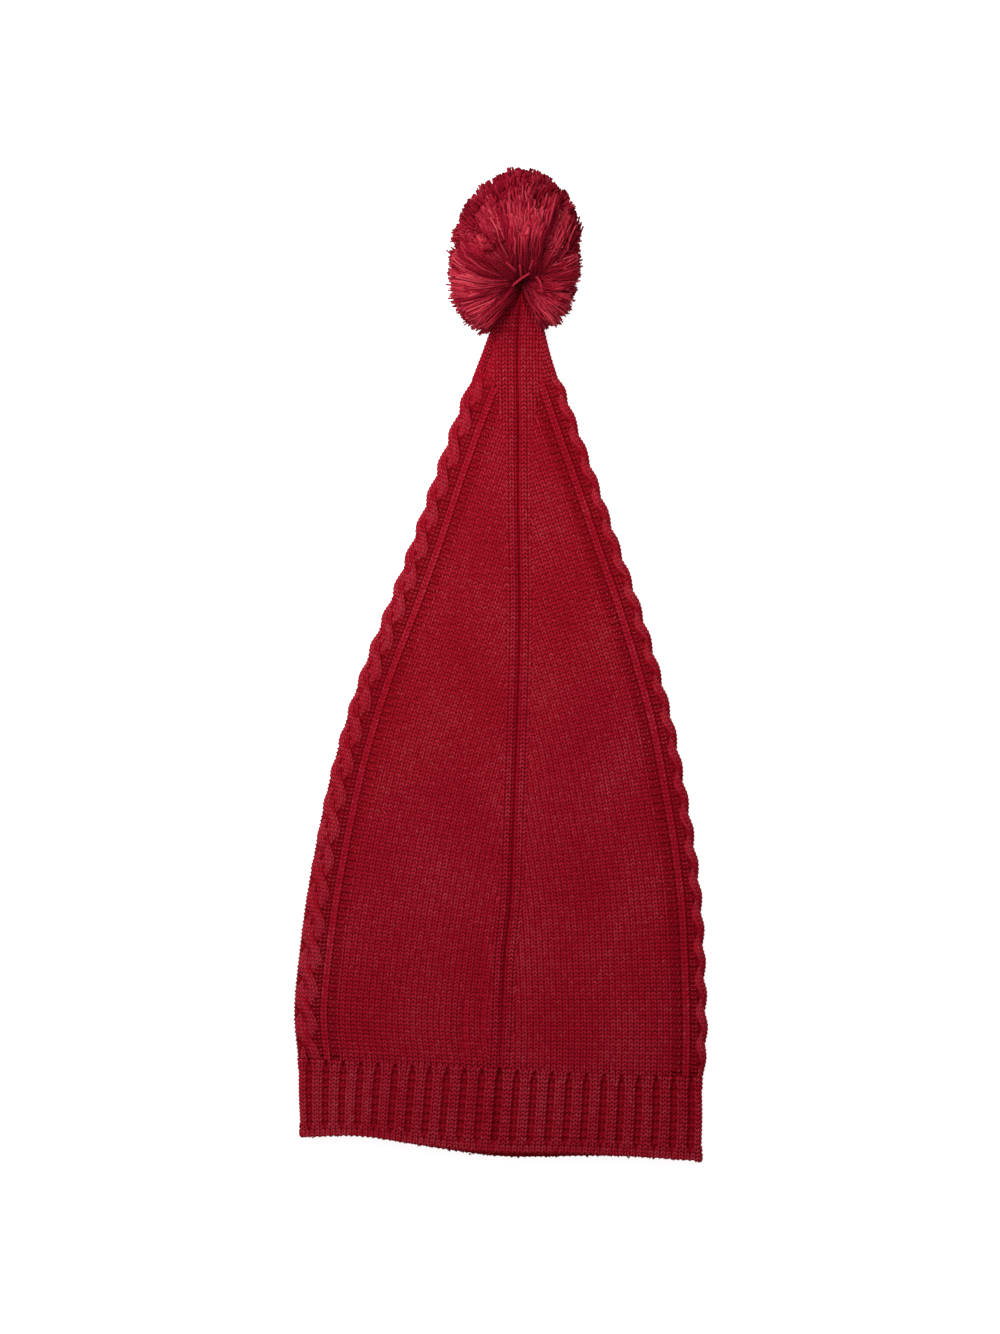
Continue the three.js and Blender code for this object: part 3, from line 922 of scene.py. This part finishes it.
def cuff_place(up, ribs):
    """A place on the cuff, by its height over the hem and the ribs counted from the seam, right being positive."""
    row = HEM + up
    side = np.where(ribs < 0, -1.0, 1.0)
    share = np.abs(ribs) / RIBS_TO_FOLD
    middle, half = across_at(row)
    fold = fold_radius(row)
    flat = half - fold
    top_run = side * (middle + side * flat - size_at(row, "seam"))
    bend = fold * math.pi / 2
    gone = np.where(share <= 1, share * (top_run + bend), (share - 1) * (flat + bend))
    on_top, on_under = (share <= 1) & (gone < top_run), (share > 1) & (gone > bend)
    turn = np.clip(np.where(share <= 1, (gone - top_run) / fold, math.pi / 2 + gone / fold), 0.0, math.pi)
    x = np.select([on_top, on_under], [size_at(row, "seam") + side * gone, middle + side * (flat - gone + bend)],
                  middle + side * (flat + fold * np.sin(turn)))
    sway = np.where(side < 0, RIB_SWAY["left"], RIB_SWAY["right"]) * (1 - up / CUFF_HEIGHT)
    x = x + np.where(on_top, sway * np.sin(math.pi * share), 0.0)
    y = tilted(row, x)
    z = np.select([on_top, on_under], [top_height(x, y), 0.0 * x], fold + fold * np.cos(turn))
    low = 1 - np.clip(up / CUFF_HEIGHT, 0.0, 1.0)
    wave = hem_wave(x, 0.5 + 0.5 * np.cos(turn))
    return np.stack([x, y + wave * low**1.6, z], axis=-1)


def ribbed_place(up, ribs, drop=0.0):
    """The same place, sunk into the valleys."""
    spot = spots(cuff_place, up, ribs)
    return spot.point + spot.out * (rib_relief(ribs, up) - drop)[:, None]


def roll_cuff(around, along):
    ribs, up = (around - 0.5) * 4 * RIBS_TO_FOLD * 0.99999, along * CUFF_HEIGHT
    rolled = ribbed_place(up, ribs, WALL_DROP)
    rolled[:, 2] = np.maximum(rolled[:, 2], 0.3)
    return rolled


def cuff_ground_painted_light(point):
    """Painted light on the cuff's ground along the hem, where the under layer lies in the shadow of the upper one,
    and a little painted shade on the rest of it.
    """
    row = row_of(point)
    return np.where(row < HEM + HEM_PAINTED_LIGHT.height, HEM_PAINTED_LIGHT.light, HEM_PAINTED_LIGHT.ground)


cuff_wall = roll_sheet("cuff_wall", 384, 24, roll_cuff)
thicken(cuff_wall)
colour_ground(cuff_wall, cuff_ground_painted_light)
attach(cuff_wall, "root")
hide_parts("rib_cuff")
print("cuff wall:", len(cuff_wall.data.polygons), "faces")

# %% [markdown]
# Each rib gets its two wales of V stitches, and each valley a ladder of small purl bumps, all leaning one way, which
# ends in a narrow V at the top and the bottom. Below the valleys the stitches close up into a plain band of two
# rows, and a row of small bumps wraps the cast-on edge.

# %% Cuff stitches
RIB_WALE = 0.335
RIBS = np.arange(-2 * RIBS_TO_FOLD, 2 * RIBS_TO_FOLD)
RIB_WALES = np.concatenate([RIBS + 0.5 - RIB_WALE / 2, RIBS + 0.5 + RIB_WALE / 2])
HEM_ROWS = np.array([0.9, 2.8])
LOOPS_A_RIB = 5


# The ribs are painted lighter than the field, as painted light on the cuff.
def rib_columns(rows, wales, length, width=1.62, tone=1.12):
    """V stitches in upright columns, whose places are counted in ribs."""
    parts = []
    for leg in (-1, 1):
        up, rib = grid(rows, wales + leg * RIB_WALE * 0.25)
        spot = spots(ribbed_place, up, rib)
        parts.append(legs(spot, length, width, height=1.15, lean=leg * 27.0, sink=0.85, middle=tone))
    return parts


def cuff_stitches():
    rows = np.arange(5.1, CUFF_HEIGHT - 1.0, ROW)
    up, rib = grid(rows[1:-2], RIBS.astype(float))
    spot = spots(ribbed_place, up, rib)
    # The valley ladders and the narrow legs at the valley ends are painted darker, as shade in the valleys.
    valley = legs(spot, 2.9, width=1.25, height=0.9, lean=62.0, sink=0.9, middle=0.9, spread=0.08)
    ends = rib_columns(rows[-1:], RIBS, 1.6 * ROW, width=1.6, tone=0.98)
    ends += rib_columns(rows[[0, -2]], RIBS, 1.6 * ROW, width=0.9, tone=0.85)
    return rib_columns(rows, RIB_WALES, 1.5 * ROW) + ends + [valley]


def hem_stitches():
    wales = np.concatenate([RIB_WALES, RIBS])
    loops = np.arange(-2 * RIBS_TO_FOLD, 2 * RIBS_TO_FOLD, 1 / LOOPS_A_RIB)
    uneven = chance.normal(0.0, 0.4, len(loops))
    spot = spots(ribbed_place, 0.1 + uneven, loops)
    rim = Spot(spot.point - spot.out * 1.4, -spot.out, -spot.across, -spot.along)
    # The rim of the under layer is painted lighter than the upper one's, as painted light in the shadow of the hem
    # above it.
    tone = np.where(np.abs(loops) > RIBS_TO_FOLD, 1.0, 0.92)
    columns = rib_columns(HEM_ROWS, wales, 1.4 * ROW)
    return columns + [legs(rim, 3.0, width=1.7, height=1.0, lean=12.0, sink=0.35, middle=tone)]


yarn_piece("cuff_stitches", gather(cuff_stitches() + hem_stitches()), 96, knit_wool)

# %% [markdown]
# ## The pompom
#
# Cut yarn is tied at the tip and falls open round it. Its outer form is a ball of cut ends that point outward, each
# a short yarn that comes out from between its neighbours, painted dark at its root as shade and lighter toward its
# end as light. Neighbours stand together in small tufts. Yarns that would stand on the bare tip or over the knot are
# left out, and so are those in a parting and where long yarns fall open to the left and right.

# %% Cut ends
KNOT = np.array([12.8, 217.0, 24.0])
POMPOM_CENTRE = np.array([8.9, 234.8, 28.0])
POMPOM_RADII = np.array([36.8, 45.7, 27.5])
CUT_ENDS = 9600
TUFTS = 420
TUFT_PULL = 0.25
CUT_YARN = np.array([
    # share of the way, radius, painted shade: dark at the root deep in the pompom, light at the end
    (0.0, 0.40, 0.30),
    (0.55, 0.50, 0.75),
    (1.0, 0.52, 1.12),
])
BARE_TIP = Sizes(half_width=3.0, spread=0.53, below=8.0)
COMBED = Sizes(radius=24.0, above=33.0)
OPENINGS = [
    # angle in plan round the knot, half width in degrees, and the height above which the cut ends stay away
    (30.0, 8.0, 33.0),
    (190.0, 42.0, 25.0),
    (-22.0, 42.0, 23.0),
]


def ball_directions(count):
    """Directions spread evenly over a ball by the golden angle."""
    height = 1 - 2 * (np.arange(count) + 0.5) / count
    turn = np.arange(count) * math.pi * (3 - math.sqrt(5))
    ring = np.sqrt(1 - height**2)
    return np.stack([ring * np.cos(turn), ring * np.sin(turn), height], axis=-1)


def stays_bare(point):
    """True where no cut yarn ends: over the bare tip, close over the knot, in the parting and over the side lobes."""
    x, y, z = (point - KNOT * (1.0, 1.0, 0.0)).T
    bare = (y < 0) & (np.abs(x) < BARE_TIP.half_width - BARE_TIP.spread * y) & (z > BARE_TIP.below)
    bare |= (np.hypot(x, y) < COMBED.radius) & (z > COMBED.above)
    angle = np.degrees(np.arctan2(y, x))
    for middle, half, above in OPENINGS:
        bare |= (np.abs((angle - middle + 180.0) % 360.0 - 180.0) < half) & (z > above)
    return bare


def tubes(path, radius, sides, shade):
    """Round yarns along paths that stay above the table, with a blunt tip."""
    path[:, :, 2] = np.maximum(path[:, :, 2], 1.0)
    along = unit(np.gradient(path, axis=1))
    least = np.eye(3)[np.argmin(np.abs(along[:, 0]), axis=-1)][:, None, :]
    first = unit(np.cross(along, least))
    second = np.cross(along, first)
    turn = np.arange(sides) * math.tau / sides
    spread = first[:, :, None] * np.cos(turn)[:, None] + second[:, :, None] * np.sin(turn)[:, None]
    rings = path[:, :, None] + spread * radius[:, :, None, None]
    ends = np.stack([path[:, 0], path[:, -1] + along[:, -1] * radius[:, -1:] * 0.5], axis=1)
    tone = np.concatenate([shade[:, :1], np.repeat(shade, sides, axis=1), shade[:, -1:]], axis=1)
    return Yarns(rings, ends, tone)


def cut_ends():
    tufts = unit(ball_directions(TUFTS) + chance.normal(0.0, 0.06, (TUFTS, 3)))
    heading = unit(ball_directions(CUT_ENDS) + chance.normal(0.0, 0.02, (CUT_ENDS, 3)))
    own = np.argmax(heading @ tufts.T, axis=1)
    heading = unit(heading * (1 - TUFT_PULL) + tufts[own] * TUFT_PULL)
    reach = 0.99 - 0.08 * chance.random(CUT_ENDS) ** 2 + chance.normal(0.0, 0.026, TUFTS)[own]
    end = POMPOM_CENTRE + POMPOM_RADII * heading * reach[:, None]
    end[:, 0] += 0.08 * np.maximum(0.0, end[:, 1] - POMPOM_CENTRE[1])
    end[:, 2] = np.maximum(end[:, 2], 1.2 + 1.5 * chance.random(CUT_ENDS))
    kept = ~stays_bare(end)
    end, own = end[kept], own[kept]
    start = POMPOM_CENTRE + (end - POMPOM_CENTRE) * 0.6
    wander = chance.normal(0.0, 1.0, end.shape)
    share, thick, fade = CUT_YARN.T
    t = share[None, :, None]
    path = start[:, None] * (1 - t) + end[:, None] * t + wander[:, None] * 4 * t * (1 - t)
    radius = thick * chance.uniform(0.85, 1.15, (len(end), 1))
    tone = chance.normal(0.86, 0.2, len(end)) + chance.normal(0.0, 0.15, TUFTS)[own]
    return tubes(path, radius, 3, tone[:, None] * fade)


pompom_ends = yarn_piece("pompom_cut_ends", cut_ends(), 40, pompom_wool)
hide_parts("pompom")

# %% [markdown]
# Long yarns lie over that ball. They leave the knot in lobes: a wide fan to the left of the tip, two small ones to
# its right, and masses that are combed up over the ball and end in a ragged fringe. Each lobe is a row of the table.
# Its yarns run in small locks, and each yarn is a curve from the knot that climbs, bends and hangs a little.

# %% Lobes of long yarn
Lobe = namedtuple("Lobe", "angle fan bow reach slant height depth width setback climb droop ragged yarns")
LOBES = [
    (190.5, 45.0, 28.0, 38.3, -0.075, 29.0, 15.0, 2.0, 3.0, 1.00, 0.35, 0.025, 1650),
    (-36.0, 28.0, -6.0, 29.0, 0.0, 24.0, 12.0, 1.6, 3.0, 0.80, 0.35, 0.025, 720),
    (10.0, 20.0, -18.0, 31.0, 0.12, 29.0, 13.0, 1.6, 3.0, 0.70, 0.20, 0.025, 580),
    (55.0, 9.0, -30.0, 40.0, 0.0, 40.0, 9.0, 2.0, 3.0, 0.75, 0.05, 0.08, 520),
    (86.0, 20.0, 0.0, 36.5, 0.0, 53.0, 6.0, 6.0, 0.5, 1.25, 0.05, 0.13, 1150),
    (117.0, 9.0, 14.0, 37.5, 0.0, 48.0, 5.0, 2.4, 1.0, 1.00, 0.05, 0.09, 420),
    (138.0, 11.0, 16.0, 34.0, 0.0, 42.0, 7.0, 2.0, 1.0, 0.95, 0.10, 0.05, 520),
]
YARNS_A_LOCK = 9
LONG_YARN = np.array([
    # share of the way, radius, painted shade: dark at the root deep in the pompom, light at the end
    (0.0, 0.30, 0.5),
    (0.2, 0.40, 0.75),
    (0.42, 0.46, 0.94),
    (0.64, 0.50, 1.06),
    (0.84, 0.53, 1.14),
    (1.0, 0.55, 1.22),
])


def plan_heading(angle):
    turn = np.radians(angle)
    return np.stack([np.cos(turn), np.sin(turn), 0.0 * turn], axis=-1)


def lobe(row, crinkle, contrast):
    """The yarns of one lobe. They wander by the crinkle, and their tones differ by the contrast."""
    size = Lobe(*row)
    count = size.yarns
    locks = count // YARNS_A_LOCK
    own = chance.integers(0, locks, count)

    def in_locks(of_locks, spread):
        return of_locks[own] + chance.normal(0.0, spread, count)

    across = np.clip(in_locks(chance.uniform(-1.0, 1.0, locks), 0.8 / size.fan), -1.05, 1.05)
    layer = np.clip(in_locks(1 - 2 * chance.random(locks) ** 1.5, 0.12), -1.0, 1.0)
    angle = size.angle + size.fan * across
    share = in_locks(1 + chance.normal(0.0, size.ragged, locks), 0.03) - 0.03 * layer
    share += size.slant * across - 0.03 * across**2
    far = (size.reach * share)[:, None]
    forward, sideways = plan_heading(np.array([size.angle, size.angle + 90.0]))
    root = KNOT + size.setback * forward + sideways * (size.width * across)[:, None]
    root += chance.normal(0.0, 1.0, (count, 3)) * (1.2, 1.2, 2.0)
    bow = size.bow * (0.55 - 0.45 * across)
    end = KNOT + plan_heading(angle + chance.normal(0.0, 2.2, count)) * far
    end[:, 2] = size.height + size.depth * layer
    scatter = chance.normal(0.0, 0.09, (2, locks, 3))[:, own] + chance.normal(0.0, 0.035, (2, count, 3))
    start = unit(plan_heading(angle + bow) + (0.0, 0.0, size.climb) + scatter[0])
    finish = unit(plan_heading(angle - bow) - (0.0, 0.0, size.droop) + scatter[1])
    way, thick, fade = LONG_YARN.T
    t = way[None, :, None]
    controls = (root, root + start * far * 0.42, end - finish * far * 0.36, end)
    weights = ((1 - t) ** 3, 3 * t * (1 - t) ** 2, 3 * t**2 * (1 - t), t**3)
    path = sum(weight * point[:, None] for weight, point in zip(weights, controls))
    path[:, 2:] += chance.normal(0.0, crinkle, path[:, 2:].shape)
    radius = thick * chance.uniform(0.85, 1.15, (count, 1))
    # Upper layers are painted lighter and the edges of a lobe darker, as painted light and shade.
    tone = in_locks(chance.normal(0.97, contrast, locks), 0.9 * contrast) + 0.1 * layer
    tone *= np.interp(np.abs(across), (0.7, 1.0), (1.0, 0.6))
    return tubes(path, radius, 3, tone[:, None] * fade)


side_lobes = gather([lobe(row, crinkle=0.35, contrast=0.27) for row in LOBES[:3]])
combed_lobes = gather([lobe(row, crinkle=0.55, contrast=0.17) for row in LOBES[3:]])
yarn_piece("pompom_side_lobes", side_lobes, 16, pompom_wool)
yarn_piece("pompom_combed_lobes", combed_lobes, 16, pompom_wool)

# %% [markdown]
# Deep between the yarns the pompom is full and lies in shade. A small ball primitive, stretched to fit well inside
# and painted very dark as that shade, closes the view through it.

# %% Pompom heart
HEART_CENTRE = (9.0, 247.0, 26.0)
HEART_RADII = (20.0, 19.0, 14.0)
HEART_PAINTED_SHADE = 0.1
bpy.ops.object.select_all(action="DESELECT")
bpy.ops.mesh.primitive_ico_sphere_add(subdivisions=3, radius=1.0, calc_uvs=False)
heart = bpy.context.object
heart.name = "pompom_heart"
bpy.ops.object.mode_set(mode="EDIT")
bpy.ops.mesh.select_all(action="SELECT")
bpy.ops.transform.resize(value=tuple(radius * MM for radius in HEART_RADII))
bpy.ops.transform.translate(value=tuple(place * MM for place in HEART_CENTRE))
bpy.ops.object.mode_set(mode="OBJECT")
bpy.ops.object.shade_smooth()
colour_ground(heart, lambda point: np.full(len(point), HEART_PAINTED_SHADE))
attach(heart, "root")
print("pompom heart:", len(heart.data.polygons), "faces")

# %% [markdown]
# ## The tie
#
# The yarn that binds the pompom to the tip ends in a few short tails that cross at the knot.

# %% Tie ends
TAILS = [
    # start, bend and end of each tail
    ((4.6, 211.6, 30.0), (10.0, 216.6, 37.0), (17.0, 220.8, 37.0)),
    ((9.8, 221.6, 36.0), (7.0, 224.0, 41.5), (3.8, 226.4, 41.0)),
    ((12.2, 218.6, 34.0), (12.0, 222.0, 41.0), (11.4, 225.2, 42.5)),
    ((16.8, 222.6, 38.0), (18.6, 226.5, 43.5), (18.8, 230.6, 44.5)),
    ((20.6, 219.0, 34.0), (25.0, 215.0, 38.0), (23.4, 207.6, 31.0)),
]
TAIL_RADIUS = 0.75
TAIL_SHADE = 1.15

t = np.linspace(0.0, 1.0, 9)[None, :, None]
start, bend, end = (np.array(points)[:, None] for points in zip(*TAILS))
path = start * (1 - t) ** 2 + 2 * bend * t * (1 - t) + end * t**2
tails = tubes(path, np.full(path.shape[:2], TAIL_RADIUS), 6, np.full(path.shape[:2], TAIL_SHADE))
yarn_piece("tie_ends", tails, 1, pompom_wool)
